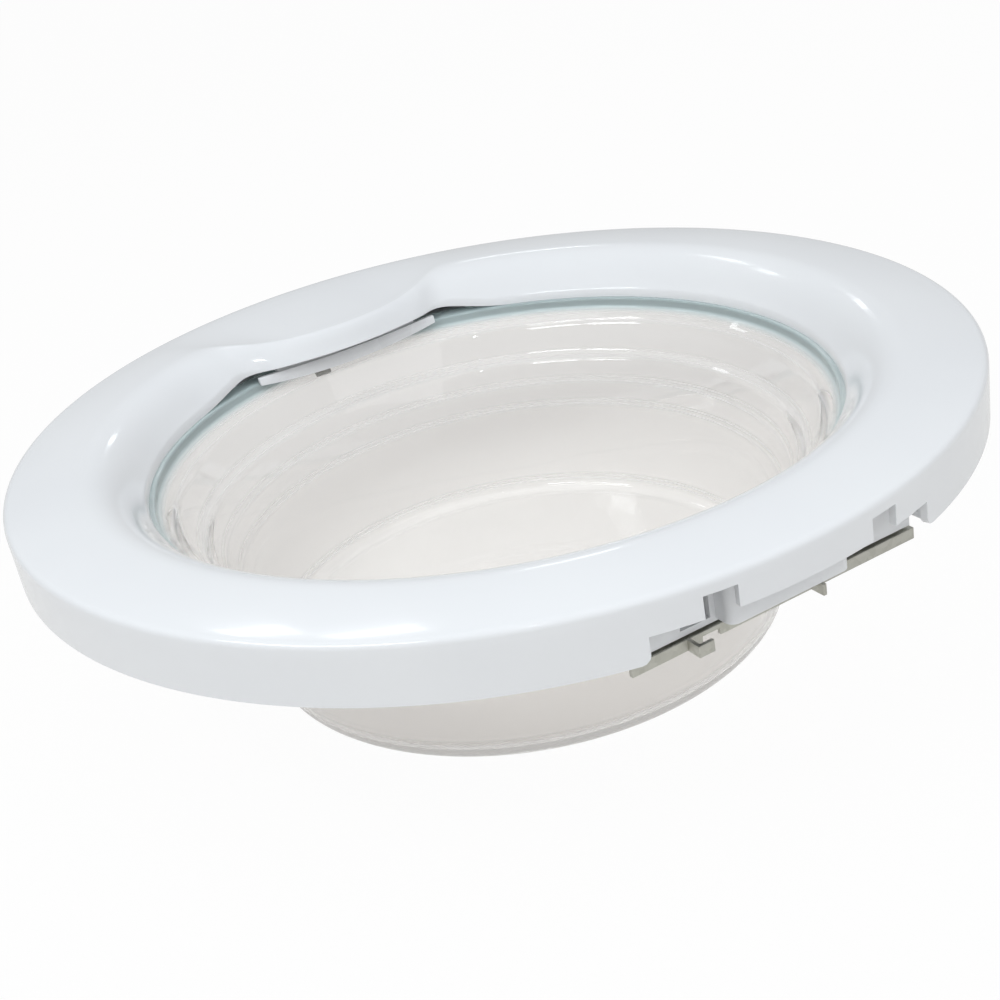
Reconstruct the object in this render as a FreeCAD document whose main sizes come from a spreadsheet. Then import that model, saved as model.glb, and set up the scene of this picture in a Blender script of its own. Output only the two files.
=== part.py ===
import FreeCAD, Part
import math
import os
import re
import Sketcher

# Washing machine door, lying face up on its glass bowl.
# Origin: centre of the bowl's foot. +Z is the door's front, +X its hinge side, -X its handle side.
# Heights in the sheet are measured from the frame's rear rim plane, unless the note says otherwise.

Vector = FreeCAD.Vector
AXIS = Vector(0, 0, 1)
ORIGIN = Vector(0, 0, 0)

DIMENSIONS = [
    ("frame_radius", 225, "outer radius of the front ring"),
    ("shell_wall", 3, "wall of the front ring"),
    ("rear_plane", 98, "height of the ring's rear rim above the bowl's foot"),
    ("side_height", 23.2, "straight part of the ring's side wall"),
    ("edge_width", 4.5, "reach of the rounded outer edge"),
    ("edge_rise", 3.5, "height of the rounded outer edge"),
    ("crease_inset", 34, "from the outer radius in to where the flat top turns into the slope"),
    ("crown_height", 28.2, "height of the top at the crease"),
    ("ring_width", 61, "from the outer radius in to the ring's inner edge"),
    ("lip_height", 5.8, "height of the glass rim's top, which the inner edge covers"),
    ("lip_gap", 0.1, "play between the inner edge and the glass rim"),
    ("lip_slope_angle", 57, "slope angle at the inner edge, degrees"),
    ("slope_curve", 14, "reach of the slope's curve from each end"),
    ("handle_turn_angle", 1.2, "turn of the whole handle about the axis, degrees"),
    ("tongue_length", 23.6, "from the ring's inner edge in to the grip edge, at the middle"),
    ("tongue_bow", 150, "radius of the grip edge in plan"),
    ("tongue_height", 12, "height of the grip edge"),
    ("shoulder_inset", 8.6, "tongue's shoulder behind the grip edge, at the middle"),
    ("shoulder_bow", 97, "radius of the tongue's shoulder in plan"),
    ("tongue_shoulder_height", 23.5, "height of the tongue's shoulder"),
    ("tongue_slope_angle", 58, "slope angle at the grip edge, degrees"),
    ("tongue_curve", 4.5, "reach of the tongue's curve from each end"),
    ("grip_start_angle", 16, "half angle where the grip edge starts to join the circle"),
    ("grip_end_angle", 26, "half angle where the grip edge is back on the circle"),
    ("rise_start_angle", 17, "half angle where the grip edge starts to fall"),
    ("rise_end_angle", 37, "half angle where the edge is down on the glass again"),
    ("shoulder_start_angle", 17, "half angle where the shoulder starts to join the crease"),
    ("shoulder_end_angle", 27, "half angle where the shoulder is back on the crease"),
    ("crown_start_angle", 10, "half angle where the shoulder starts to rise"),
    ("crown_end_angle", 28, "half angle where the shoulder is as high as the crease"),
    ("sector_angle", 42, "half angle of the sector that holds the tongue"),
    ("glass_wall", 4.5, "wall of the bowl"),
    ("glass_floor", 5, "floor of the bowl"),
    ("rim_cover", 9, "width of the glass rim beyond the ring's inner edge"),
    ("rim_thickness", 5, "thickness of the glass rim"),
    ("mouth_setback", 2.5, "how far the mouth stands inside the ring's inner edge"),
    ("band_depth", 4.8, "upright band below the rim's top"),
    ("ledge_inset", 10.5, "ledge inside the ring's inner edge"),
    ("ledge_depth", 9.3, "ledge below the rim's top"),
    ("step_inset", 18.2, "foot of the step inside the ring's inner edge"),
    ("step_depth", 25.2, "foot of the step below the rim's top"),
    ("ridge_inset", 22.7, "ridge inside the ring's inner edge"),
    ("ridge_depth", 27.8, "ridge below the rim's top"),
    ("waist_inset", 27.5, "waist inside the ring's inner edge"),
    ("waist_depth", 38.8, "waist below the rim's top"),
    ("skirt_inset", 32, "start of the lower wall inside the ring's inner edge"),
    ("skirt_depth", 50.8, "start of the lower wall below the rim's top"),
    ("foot_inset", 36, "outside of the wall at the foot, inside the ring's inner edge"),
    ("foot_round", 9, "outer rounding at the foot"),
    ("floor_round", 6, "inner rounding at the floor"),
    ("wall_round", 3.5, "rounding of the bends in the bowl's wall"),
    ("rear_drop", 4, "rear face of the inner frame below the rim plane"),
    ("rear_wall", 2.5, "wall of the inner frame"),
    ("seat_clearance", 0.4, "play round the glass rim"),
    ("seat_wall", 3, "wall round the glass rim"),
    ("seat_step", 0.4, "seat wall below the rim's top"),
    ("ledge_width", 5, "support under the glass rim"),
    ("frame_clearance", 0.5, "play between the two frames"),
    ("upstand_height", 9, "top of the inner frame's outer wall"),
    ("joggle_width", 3.5, "width of the step near the outer edge"),
    ("joggle_inset", 14, "from the outer radius in to the edge of the rear face"),
    ("joggle_height", 1, "rear of the outer edge above the rim plane"),
    ("hinge_half", 65, "half length of the hinge cut-out"),
    ("hinge_cut", 10.8, "height of the hinge cut-out"),
    ("notch_offset", 37.75, "distance of each hinge notch from the middle"),
    ("notch_width", 13.5, "width of a hinge notch"),
    ("notch_height", 20, "height of a hinge notch"),
    ("hinge_wall_inset", 21, "from the outer radius in to the hinge wall's face"),
    ("hinge_wall_height", 12, "top of the hinge wall"),
    ("hinge_end_gap", 1.5, "inner frame's cut beyond the ring's cut-out"),
    ("block_half", 28.5, "half length of the block between the notches"),
    ("block_depth", 9, "how far the block stands out of the hinge wall"),
    ("block_height", 14, "top of the block"),
    ("block_rise", 1, "underside of the block above the rear face"),
    ("block_round", 4, "rounding of the block's upright corners"),
    ("plate_length", 135, "length of the hinge plate"),
    ("plate_width", 27, "width of the hinge plate"),
    ("plate_sheet", 2, "sheet of the hinge plate"),
    ("plate_overhang", 1.2, "hinge plate beyond the hinge wall"),
    ("plate_flange", 4.8, "height of the folded edge"),
    ("pad_height", 1, "seats that carry the hinge plate"),
    ("pad_radius", 6, "radius of those seats"),
    ("hook_sheet", 1.6, "sheet of the hinge plate's hook and ear"),
    ("hook_reach", 7, "how far the hook and ear stand out"),
    ("hook_start", -43, "place of the hook along the plate"),
    ("hook_length", 7, "length of the hook's return"),
    ("flange_notch_length", 8, "length of the notch beside the hook"),
    ("ear_place", 15, "place of the ear along the plate"),
    ("hinge_bolt_radius", 3.2, "clearance hole for the hinge bolts"),
    ("bolt_access_radius", 5.5, "access hole in the inner frame behind a hinge bolt"),
    ("plate_row_offset", 13, "hole row from the plate's inner edge"),
    ("plate_screw_near", 14, "inner plate screws from the middle"),
    ("plate_screw_far", 57, "outer plate screws from the middle"),
    ("screw_radius", 1.9, "shank of the screws"),
    ("screw_clearance", 0.35, "play of a screw in its through hole"),
    ("screw_head_radius", 3.8, "head of the screws"),
    ("screw_head_height", 2.4, "height of the head"),
    ("screw_length", 14, "length of the shank"),
    ("thread_clearance", 0.02, "play of a shank in its pilot hole"),
    ("boss_wall", 2.2, "wall of a screw boss"),
    ("plate_boss_height", 12, "top of the hinge plate's bosses"),
    ("post_inset", 25, "from the outer radius in to the circle of the frame screws"),
    ("post_start_angle", 31, "angle of the first frame screw from the hinge"),
    ("post_step_angle", 35, "angle between the frame screws"),
    ("post_root", 1.5, "how deep a post runs into the top wall"),
    ("pilot_rest", 3, "pilot hole beyond the screw's tip"),
    ("pivot_offset", 18, "lever's pin outside the ring's inner edge"),
    ("pivot_height", 10, "height of the lever's pin"),
    ("pin_radius", 2, "radius of the lever's pin"),
    ("run_clearance", 0.05, "radial running clearance on the pin"),
    ("hub_wall", 2.6, "wall of the hubs on the pin"),
    ("boss_depth", 8, "width of a pin boss"),
    ("boss_half", 6, "half length of a pin boss"),
    ("boss_inner", 38, "inner face of the pin bosses from the middle"),
    ("side_gap", 0.6, "gap between the lever and the pin bosses"),
    ("pin_stick_out", 1, "pin beyond its bosses"),
    ("knuckle_width", 11, "width of a lever knuckle"),
    ("lever_wall", 2.6, "thickness of the lever"),
    ("lever_lift", 1, "gap between the lever and the glass rim"),
    ("grip_half", 55, "half length of the grip bar"),
    ("grip_setback", 7.5, "bottom of the grip bar behind the tongue's edge"),
    ("grip_lean", 1.6, "lean of the grip bar's face"),
    ("grip_wall", 2.4, "thickness of the grip bar"),
    ("grip_low", 1, "underside of the grip bar at the middle"),
    ("grip_top", 7.6, "top of the grip bar at the middle"),
    ("grip_end_rise", 1.3, "rise of the grip bar's top towards its ends"),
    ("grip_low_bow", 380, "radius of the grip bar's bowed underside"),
    ("grip_top_bow", 880, "radius of the grip bar's bowed top"),
    ("grip_round", 5.5, "rounding of the grip bar's lower ends"),
    ("arch_half", 43, "half length of the lever's arch"),
    ("arch_height", 10.8, "top of the lever's arch"),
    ("arch_length", 16.4, "length of the lever's arch behind the bar's bottom"),
    ("lever_gap", 1.4, "gap between the lever's plate and the hubs"),
    ("hook_place", -6, "place of the latch hook along the pin"),
    ("hook_half", 4.5, "half width of the latch hook"),
    ("hook_shank", 5, "thickness of the latch hook's shank"),
    ("hook_depth", 17, "latch hook's tip below the rim plane"),
    ("barb_reach", 5, "barb of the latch hook beyond its shank"),
    ("barb_height", 5.5, "height of the barb above the tip"),
    ("finger_reach", 14, "finger of the latch hook towards the grip"),
    ("slot_play", 2.2, "play of the hook in its slot"),
    ("spring_wire", 1.1, "wire of the return spring"),
    ("spring_coil", 2.9, "mean radius of the return spring"),
    ("spring_pitch", 1.6, "pitch of the return spring"),
    ("spring_turn_count", 7, "turns of the return spring"),
    ("spring_flat_count", 6, "flats that stand for the spring wire's round section"),
    ("spring_gap", 1.5, "gap between the spring and the hook"),
    ("spring_leg", 14, "reach of the spring's leg over the lever"),
]

FRAME_SCREWS_PER_SIDE = 4

doc = FreeCAD.newDocument("washing_machine_door")
sheet = doc.addObject("Spreadsheet::Sheet", "Sizes")
for row, (alias, value, note) in enumerate(DIMENSIONS, start=1):
    sheet.set("A%d" % row, alias)
    sheet.set("B%d" % row, str(value))
    sheet.set("C%d" % row, note)
    sheet.setAlias("B%d" % row, alias)
doc.recompute()

ALIASES = {alias for alias, _, _ in DIMENSIONS}

# Shared sizes worked out from the driving ones.
DERIVED = {
    "crease_radius": "(frame_radius - crease_inset)",
    "lip_radius": "(frame_radius - ring_width)",
    "tongue_reach": "(lip_radius - tongue_length)",
    "tongue_shoulder": "(tongue_reach + shoulder_inset)",
    "ledge_radius": "(lip_radius - ledge_inset)",
    "step_radius": "(lip_radius - step_inset)",
    "ridge_radius": "(lip_radius - ridge_inset)",
    "waist_radius": "(lip_radius - waist_inset)",
    "skirt_radius": "(lip_radius - skirt_inset)",
    "foot_radius": "(lip_radius - foot_inset)",
    "joggle_radius": "(frame_radius - joggle_inset)",
    "hinge_wall_offset": "(frame_radius - hinge_wall_inset)",
    "post_circle": "(frame_radius - post_inset)",
    "pivot_reach": "(lip_radius + pivot_offset)",
    "rim_radius": "(lip_radius + rim_cover)",
    "mouth_radius": "(lip_radius - mouth_setback)",
    "rim_top": "(rear_plane + lip_height)",
    "rim_under": "(rear_plane + lip_height - rim_thickness)",
    "rear_face": "(rear_plane - rear_drop)",
    "rear_inside": "(rear_plane - rear_drop + rear_wall)",
    "seat_inner": "(lip_radius + rim_cover + seat_clearance)",
    "seat_outer": "(lip_radius + rim_cover + seat_clearance + seat_wall)",
    "flange_outer": "(frame_radius - shell_wall - frame_clearance)",
    "plate_edge": "(hinge_wall_offset + plate_overhang)",
    "plate_inner": "(hinge_wall_offset + plate_overhang - plate_width)",
    "plate_row": "(hinge_wall_offset + plate_overhang - plate_width + plate_row_offset)",
    "plate_top": "(rear_plane - rear_drop - pad_height)",
    "plate_under": "(rear_plane - rear_drop - pad_height - plate_sheet)",
    "flange_under": "(rear_plane - rear_drop - pad_height - plate_flange)",
    "pivot_z": "(rear_plane + pivot_height)",
    "hub_radius": "(pin_radius + run_clearance + hub_wall)",
    "boss_outer": "(boss_inner + boss_depth)",
    "knuckle_outer": "(boss_inner - side_gap)",
    "knuckle_inner": "(boss_inner - side_gap - knuckle_width)",
    "lever_under": "(rear_plane + lip_height + lever_lift)",
    "lever_top": "(rear_plane + lip_height + lever_lift + lever_wall)",
    "grip_foot": "(tongue_reach + grip_setback)",
    "arch_end": "(tongue_reach + grip_setback + arch_length)",
    "lever_back": "(pivot_reach - hub_radius - lever_gap)",
    "hook_front": "(pivot_reach - hook_shank / 2)",
    "hook_back": "(pivot_reach + hook_shank / 2)",
    "hook_tip": "(rear_plane - hook_depth)",
    "pilot_radius": "(screw_radius + thread_clearance)",
    "through_radius": "(screw_radius + screw_clearance)",
    "post_radius": "(screw_radius + boss_wall)",
    "pilot_depth": "(screw_length + pilot_rest)",
}


def formula(text):
    """Turn words of the size table into a formula on the sheet."""
    words = r"[a-z][a-z_]*"
    while any(word in DERIVED for word in re.findall(words, text)):
        text = re.sub(words, lambda found: DERIVED.get(found.group(), found.group()), text)
    return re.sub(words, lambda found: ("Sizes." if found.group() in ALIASES else "") + found.group(), text)


def size(text):
    """Value of a formula, in millimetres or degrees."""
    return float(sheet.evalExpression(formula(text)))


def bind(target, formulas):
    """Tie properties of an object to formulas on the sheet."""
    for path, text in formulas.items():
        target.setExpression(path, formula(text))


def place(target, x, y, z):
    """Tie an object's position to formulas on the sheet."""
    bind(target, {"Placement.Base.x": x, "Placement.Base.y": y, "Placement.Base.z": z})


def box(name, x_span, y_span, z_span):
    """A block between pairs of formulas."""
    block = doc.addObject("Part::Box", name)
    spans = {"Length": x_span, "Width": y_span, "Height": z_span}
    bind(block, {side: "(%s) - (%s)" % (high, low) for side, (low, high) in spans.items()})
    place(block, x_span[0], y_span[0], z_span[0])
    return block


def rod(name, radius, height, x, y, z, along="z"):
    """A cylinder that starts at a point and runs along +X, +Y or +Z."""
    ways = {"x": Vector(1, 0, 0), "y": Vector(0, 1, 0), "z": AXIS}
    cylinder = doc.addObject("Part::Cylinder", name)
    cylinder.Placement = FreeCAD.Placement(ORIGIN, FreeCAD.Rotation(AXIS, ways[along]))
    bind(cylinder, {"Radius": radius, "Height": height})
    place(cylinder, x, y, z)
    return cylinder


def fuse(name, pieces):
    """One solid out of several."""
    joined = doc.addObject("Part::MultiFuse", name)
    joined.Shapes = pieces
    joined.Refine = True
    return joined


def cut(name, base, tools):
    """A solid less several others."""
    remover = tools[0] if len(tools) == 1 else fuse(name + "_cutters", tools)
    rest = doc.addObject("Part::Cut", name)
    rest.Base = base
    rest.Tool = remover
    return rest


def outline(body, name, corners, plane="XZ_Plane"):
    """A closed outline of straight lines, each corner tied to a pair of formulas."""
    sketch = body.newObject("Sketcher::SketchObject", name)
    support = [feature for feature in body.Origin.OriginFeatures if feature.Role == plane][0]
    sketch.AttachmentSupport = [(support, "")]
    sketch.MapMode = "FlatFace"
    points = [Vector(size(x), size(y), 0) for x, y in corners]
    count = len(points)
    for index in range(count):
        sketch.addGeometry(Part.LineSegment(points[index], points[(index + 1) % count]))
    for index in range(count):
        sketch.addConstraint(Sketcher.Constraint("Coincident", index, 2, (index + 1) % count, 1))
    for index, (x, y) in enumerate(corners):
        for direction, text in (("DistanceX", x), ("DistanceY", y)):
            number = sketch.addConstraint(Sketcher.Constraint(direction, index, 1, size(text)))
            sketch.setExpression("Constraints[%d]" % number, formula(text))
    return sketch


def turned_body(name, corners):
    """A body of revolution about the door's axis."""
    body = doc.addObject("PartDesign::Body", name)
    sketch = outline(body, name + "_outline", corners)
    turn = body.newObject("PartDesign::Revolution", name + "_turn")
    turn.Profile = sketch
    turn.ReferenceAxis = (sketch, ["V_Axis"])
    doc.recompute()
    return body


def padded_body(name, corners, half_width):
    """A body of one section, as wide on both sides of the door's middle plane."""
    body = doc.addObject("PartDesign::Body", name)
    pad = body.newObject("PartDesign::Pad", name + "_pad")
    pad.Profile = outline(body, name + "_outline", corners)
    pad.SideType = "Symmetric"
    bind(pad, {"Length": "2 * " + half_width})
    doc.recompute()
    return body


def round_edges(body, name, radius, chosen):
    """Round the edges of a body that a test picks."""
    base = body.Tip
    names = ["Edge%d" % number for number, edge in enumerate(base.Shape.Edges, start=1) if chosen(edge)]
    rounding = body.newObject("PartDesign::Fillet", name)
    rounding.Base = (base, names)
    bind(rounding, {"Radius": radius})
    body.Tip = rounding
    doc.recompute()


def ring_edge(radius, height):
    """A test for the circular edge of a given radius and height."""
    near = 1e-3

    def test(edge):
        if not isinstance(edge.Curve, Part.Circle):
            return False
        return abs(edge.Curve.Radius - size(radius)) < near and abs(edge.Curve.Center.z - size(height)) < near

    return test


def any_of(tests):
    """A test that passes where one of several does."""
    return lambda edge: any(test(edge) for test in tests)


def turn_to_handle(target):
    """Turn an object about the door's axis to where the handle is."""
    target.Placement = FreeCAD.Placement(ORIGIN, FreeCAD.Rotation(AXIS, size("handle_turn_angle")))
    bind(target, {"Placement.Rotation.Angle": "handle_turn_angle"})
    return target


def name_node(target, node):
    """Give a finished sub-part its node name."""
    target.Label = node
    return target


# Front ring: one moulded shell whose section changes round the handle tongue.

def ease(start, end, angle):
    """1 up to the start angle, 0 from the end angle, smooth between."""
    share = min(max((abs(angle) - start) / (end - start), 0.0), 1.0)
    return 1.0 - share ** 3 * (10.0 - 15.0 * share + 6.0 * share ** 2)


def mix(plain, tongue, share):
    """Value between the plain ring and the tongue."""
    return plain + (tongue - plain) * share


def bezier(poles):
    """A curve edge through its end poles."""
    curve = Part.BezierCurve()
    curve.setPoles(poles)
    return curve.toShape()


def bowed_edge(reach, bow, angle):
    """Radius of an edge that bows towards the axis, at an angle from the handle's middle."""
    turn = math.radians(angle)
    sideways = size(reach) * math.tan(turn)
    return (size(reach) + sideways ** 2 / (2.0 * size(bow))) / math.cos(turn)


def ring_section(angle):
    """Closed section of the front ring, at an angle from the handle's middle."""
    grip_edge = bowed_edge("tongue_reach", "tongue_bow", angle)
    shoulder_edge = bowed_edge("tongue_shoulder", "shoulder_bow", angle)
    grip = ease(size("grip_start_angle"), size("grip_end_angle"), angle)
    rise = ease(size("rise_start_angle"), size("rise_end_angle"), angle)
    swing = ease(size("shoulder_start_angle"), size("shoulder_end_angle"), angle)
    crown = ease(size("crown_start_angle"), size("crown_end_angle"), angle)
    outer = size("frame_radius")
    wall = size("shell_wall")
    side = size("side_height")
    edge_radius = outer - size("edge_width")
    edge_top = side + size("edge_rise")
    lip = mix(size("lip_radius"), grip_edge, grip)
    lip_height = mix(size("lip_height + lip_gap"), size("tongue_height"), rise)
    shoulder = mix(size("crease_radius"), shoulder_edge, swing)
    shoulder_height = mix(size("crown_height"), size("tongue_shoulder_height"), crown)
    slope = math.radians(mix(size("lip_slope_angle"), size("tongue_slope_angle"), grip))
    reach = mix(size("slope_curve"), size("tongue_curve"), grip)
    turn = math.radians(180.0 - angle + size("handle_turn_angle"))

    def at(radius, height):
        return Vector(radius * math.cos(turn), radius * math.sin(turn), size("rear_plane") + height)

    rise_in = reach * math.sin(slope)
    run_in = reach * math.cos(slope)
    face = [
        at(shoulder, shoulder_height),
        at(shoulder - reach, shoulder_height),
        at(lip + run_in, lip_height + rise_in),
        at(lip, lip_height),
    ]
    back = [
        at(lip + wall / math.sin(slope), lip_height),
        at(lip + run_in + wall * math.sin(slope), lip_height + rise_in - wall * math.cos(slope)),
        at(shoulder - reach + wall * math.tan(slope / 2), shoulder_height - wall),
        at(shoulder, shoulder_height - wall),
    ]
    foot = at(outer, 0)
    corner = at(outer, side)
    brow = at(edge_radius, edge_top)
    inner_brow = at(edge_radius, edge_top - wall)
    inner_corner = at(outer - wall, side)
    inner_foot = at(outer - wall, 0)
    side_pole = at(outer, edge_top - size("edge_rise") / 4)
    brow_pole = at(outer - size("edge_width") / 4, edge_top)
    edges = [
        Part.makeLine(foot, corner),
        bezier([corner, side_pole, brow_pole, brow]),
        Part.makeLine(brow, face[0]),
        bezier(face),
        Part.makeLine(face[-1], back[0]),
        bezier(back),
        Part.makeLine(back[-1], inner_brow),
        Part.makeLine(inner_brow, inner_corner),
        Part.makeLine(inner_corner, inner_foot),
        Part.makeLine(inner_foot, foot),
    ]
    return Part.Wire(edges)


def front_shell():
    """The ring: a loft through the handle's sector, and a revolution for the rest."""
    half = size("sector_angle")
    steps = 42
    angles = [half * (2.0 * step / steps - 1.0) for step in range(steps + 1)]
    sector = Part.makeLoft([ring_section(angle) for angle in angles], True, False)
    rest = Part.Face(ring_section(-half)).revolve(ORIGIN, AXIS, 360.0 - 2.0 * half)
    return sector.fuse(rest)


def frame_screw_places():
    """Plan position formulas of the screws that join the two frames."""
    places = []
    for side in ("", "-"):
        for number in range(FRAME_SCREWS_PER_SIDE):
            angle = "(post_start_angle + %d * post_step_angle)" % number
            places.append(("post_circle * cos(%s)" % angle, "%spost_circle * sin(%s)" % (side, angle)))
    return places


def plate_screw_places():
    """Plan position formulas of the screws that hold the hinge plate."""
    offsets = ("-plate_screw_far", "-plate_screw_near", "plate_screw_near", "plate_screw_far")
    return [("plate_row", offset) for offset in offsets]


def hinge_bolt_places():
    """Plan position formulas of the two hinge bolts."""
    return [("plate_row", side + "notch_offset") for side in ("-", "")]


def notch_span(side):
    """Formulas for the two flanks of a hinge notch."""
    return (side + "notch_offset - notch_width / 2", side + "notch_offset + notch_width / 2")


shell = doc.addObject("Part::Feature", "front_shell")
shell.Shape = front_shell()
post_top = "rear_plane + crown_height - shell_wall + post_root"
posts = [
    rod("post_%d" % number, "post_radius", "%s - (rear_inside)" % post_top, x, y, "rear_inside")
    for number, (x, y) in enumerate(frame_screw_places())
]
pilots = [
    rod("post_pilot_%d" % number, "pilot_radius", "pilot_depth", x, y, "rear_face")
    for number, (x, y) in enumerate(frame_screw_places())
]
beyond = "frame_radius + shell_wall"
hinge_opening = box(
    "hinge_opening",
    ("hinge_wall_offset", beyond),
    ("-hinge_half", "hinge_half"),
    ("rear_plane - shell_wall", "rear_plane + hinge_cut"),
)
notches = [
    box(
        "hinge_notch_%d" % number,
        ("hinge_wall_offset", beyond),
        notch_span(side),
        ("rear_plane", "rear_plane + notch_height"),
    )
    for number, side in enumerate(("-", ""))
]
posted_shell = fuse("posted_shell", [shell] + posts)
outer_frame = cut("outer_frame", posted_shell, [hinge_opening] + notches + pilots)
name_node(outer_frame, "outer_frame")

# Glass bowl: one pressed piece with a flat rim, a stepped throat and a flat foot.

glass_out = "+ glass_wall"
glass_down = "- glass_wall / 2"
bowl_bends = [
    ("ledge_radius", "rim_top - ledge_depth"),
    ("step_radius", "rim_top - step_depth"),
    ("ridge_radius", "rim_top - ridge_depth"),
    ("waist_radius", "rim_top - waist_depth"),
    ("skirt_radius", "rim_top - skirt_depth"),
]
outer_bends = [
    ("%s %s" % (radius, glass_out), "%s %s" % (height, glass_down)) for radius, height in bowl_bends
]
bowl_corners = [("0", "0"), ("foot_radius", "0")]
bowl_corners += outer_bends[::-1]
bowl_corners += [
    ("mouth_radius + rim_thickness", "rim_under"),
    ("rim_radius", "rim_under"),
    ("rim_radius", "rim_top"),
    ("mouth_radius", "rim_top"),
    ("mouth_radius", "rim_top - band_depth"),
]
bowl_corners += bowl_bends
bowl_corners += [("foot_radius - glass_wall", "glass_floor"), ("0", "glass_floor")]
glass_bowl = turned_body("glass_bowl", bowl_corners)
round_edges(glass_bowl, "foot_rounding", "foot_round", ring_edge("foot_radius", "0"))
round_edges(glass_bowl, "floor_rounding", "floor_round", ring_edge("foot_radius - glass_wall", "glass_floor"))
bend_tests = [ring_edge(radius, height) for radius, height in bowl_bends + outer_bends]
round_edges(glass_bowl, "bend_rounding", "wall_round", any_of(bend_tests))
name_node(glass_bowl, "glass_bowl")

# Inner frame: rear ring with the glass seat, the hinge wall and block, the pin bosses and the screw holes.

rear_ring = turned_body("rear_ring", [
    ("rim_radius - ledge_width", "rear_face"),
    ("rim_radius - ledge_width", "rim_under"),
    ("seat_inner", "rim_under"),
    ("seat_inner", "rim_top - seat_step"),
    ("seat_outer", "rim_top - seat_step"),
    ("seat_outer", "rear_inside"),
    ("joggle_radius - rear_wall / 2", "rear_inside"),
    ("joggle_radius - rear_wall / 2 + joggle_width", "rear_plane + joggle_height + rear_wall"),
    ("flange_outer - rear_wall", "rear_plane + joggle_height + rear_wall"),
    ("flange_outer - rear_wall", "rear_plane + upstand_height"),
    ("flange_outer", "rear_plane + upstand_height"),
    ("flange_outer", "rear_plane + joggle_height"),
    ("joggle_radius + joggle_width", "rear_plane + joggle_height"),
    ("joggle_radius", "rear_face"),
])
hinge_span = ("-hinge_half - hinge_end_gap", "hinge_half + hinge_end_gap")
hinge_side = box(
    "hinge_side",
    ("hinge_wall_offset", beyond),
    hinge_span,
    ("rear_face - rear_wall", "rear_plane + upstand_height + rear_wall"),
)
hinge_wall = box(
    "hinge_wall",
    ("hinge_wall_offset - rear_wall", "hinge_wall_offset"),
    hinge_span,
    ("rear_face", "rear_plane + hinge_wall_height"),
)
hinge_block = doc.addObject("PartDesign::Body", "hinge_block")
block_sketch = outline(hinge_block, "hinge_block_outline", [
    ("hinge_wall_offset - rear_wall", "-block_half"),
    ("hinge_wall_offset + block_depth", "-block_half"),
    ("hinge_wall_offset + block_depth", "block_half"),
    ("hinge_wall_offset - rear_wall", "block_half"),
], "XY_Plane")
bind(block_sketch, {"AttachmentOffset.Base.z": "rear_face + block_rise"})
block_pad = hinge_block.newObject("PartDesign::Pad", "hinge_block_pad")
block_pad.Profile = block_sketch
bind(block_pad, {"Length": "rear_drop + block_height - block_rise"})
doc.recompute()


def block_corner(edge):
    """A test for the block's two upright outer corners."""
    ends = [vertex.Point for vertex in edge.Vertexes]
    upright = len(ends) == 2 and abs(ends[0].z - ends[1].z) > size("rear_wall")
    return upright and min(end.x for end in ends) > size("hinge_wall_offset")


round_edges(hinge_block, "hinge_block_rounding", "block_round", block_corner)
block_hollow = box(
    "block_hollow",
    ("hinge_wall_offset - 2 * rear_wall", "hinge_wall_offset + block_depth - rear_wall"),
    ("-block_half + rear_wall", "block_half - rear_wall"),
    ("rear_inside + block_rise", "rear_plane + block_height + rear_wall"),
)
arm_windows = [
    box(
        "arm_window_%d" % number,
        ("hinge_wall_offset - 2 * rear_wall", "hinge_wall_offset + rear_wall"),
        notch_span(side),
        ("rear_inside", "rear_plane + hinge_wall_height + rear_wall"),
    )
    for number, side in enumerate(("-", ""))
]
pin_bosses = []
for number, start in enumerate(("-boss_outer", "boss_inner")):
    pin_bosses.append(box(
        "pin_boss_%d" % number,
        ("-pivot_reach - boss_half", "-pivot_reach + boss_half"),
        (start, start + " + boss_depth"),
        ("rear_face + rear_wall / 2", "pivot_z"),
    ))
    pin_bosses.append(rod(
        "pin_boss_top_%d" % number, "boss_half", "boss_depth", "-pivot_reach", start, "pivot_z", "y",
    ))
pin_bore = rod(
    "pin_bore", "pin_radius", "2 * boss_outer + 2 * pin_stick_out",
    "-pivot_reach", "-boss_outer - pin_stick_out", "pivot_z", "y",
)
hook_slot = box(
    "hook_slot",
    ("-hook_back - barb_reach - slot_play", "-hook_front + slot_play"),
    ("hook_place - hook_half - slot_play", "hook_place + hook_half + slot_play"),
    ("rear_face - rear_wall", "rear_inside + rear_wall"),
)
plate_bosses = []
plate_seats = []
plate_pilots = []
for number, (x, y) in enumerate(plate_screw_places()):
    plate_bosses.append(rod(
        "plate_boss_%d" % number, "post_radius", "rear_drop + plate_boss_height", x, y, "rear_face",
    ))
    seat_height = "pad_height + rear_wall"
    plate_seats.append(rod("plate_seat_%d" % number, "pad_radius", seat_height, x, y, "plate_top"))
    plate_pilots.append(rod("plate_pilot_%d" % number, "pilot_radius", "pilot_depth", x, y, "plate_under"))
through_holes = [
    rod("through_hole_%d" % number, "through_radius", "3 * rear_wall", x, y, "rear_face - rear_wall")
    for number, (x, y) in enumerate(frame_screw_places())
]
bolt_holes = [
    rod("bolt_access_%d" % number, "bolt_access_radius", "3 * rear_wall", x, y, "rear_face - rear_wall")
    for number, (x, y) in enumerate(hinge_bolt_places())
]
open_ring = cut("open_ring", rear_ring, [hinge_side])
handle_bosses = turn_to_handle(fuse("handle_bosses", pin_bosses))
handle_cuts = turn_to_handle(fuse("handle_cuts", [pin_bore, hook_slot]))
frame_pieces = [open_ring, hinge_wall, hinge_block, handle_bosses] + plate_bosses + plate_seats
frame_cuts = [block_hollow, handle_cuts] + arm_windows + plate_pilots + through_holes + bolt_holes
inner_frame = cut("inner_frame", fuse("closed_ring", frame_pieces), frame_cuts)
name_node(inner_frame, "inner_frame")

# Hinge plate: folded steel sheet with a lanced hook, an ear and the hinge bolt holes.

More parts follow.
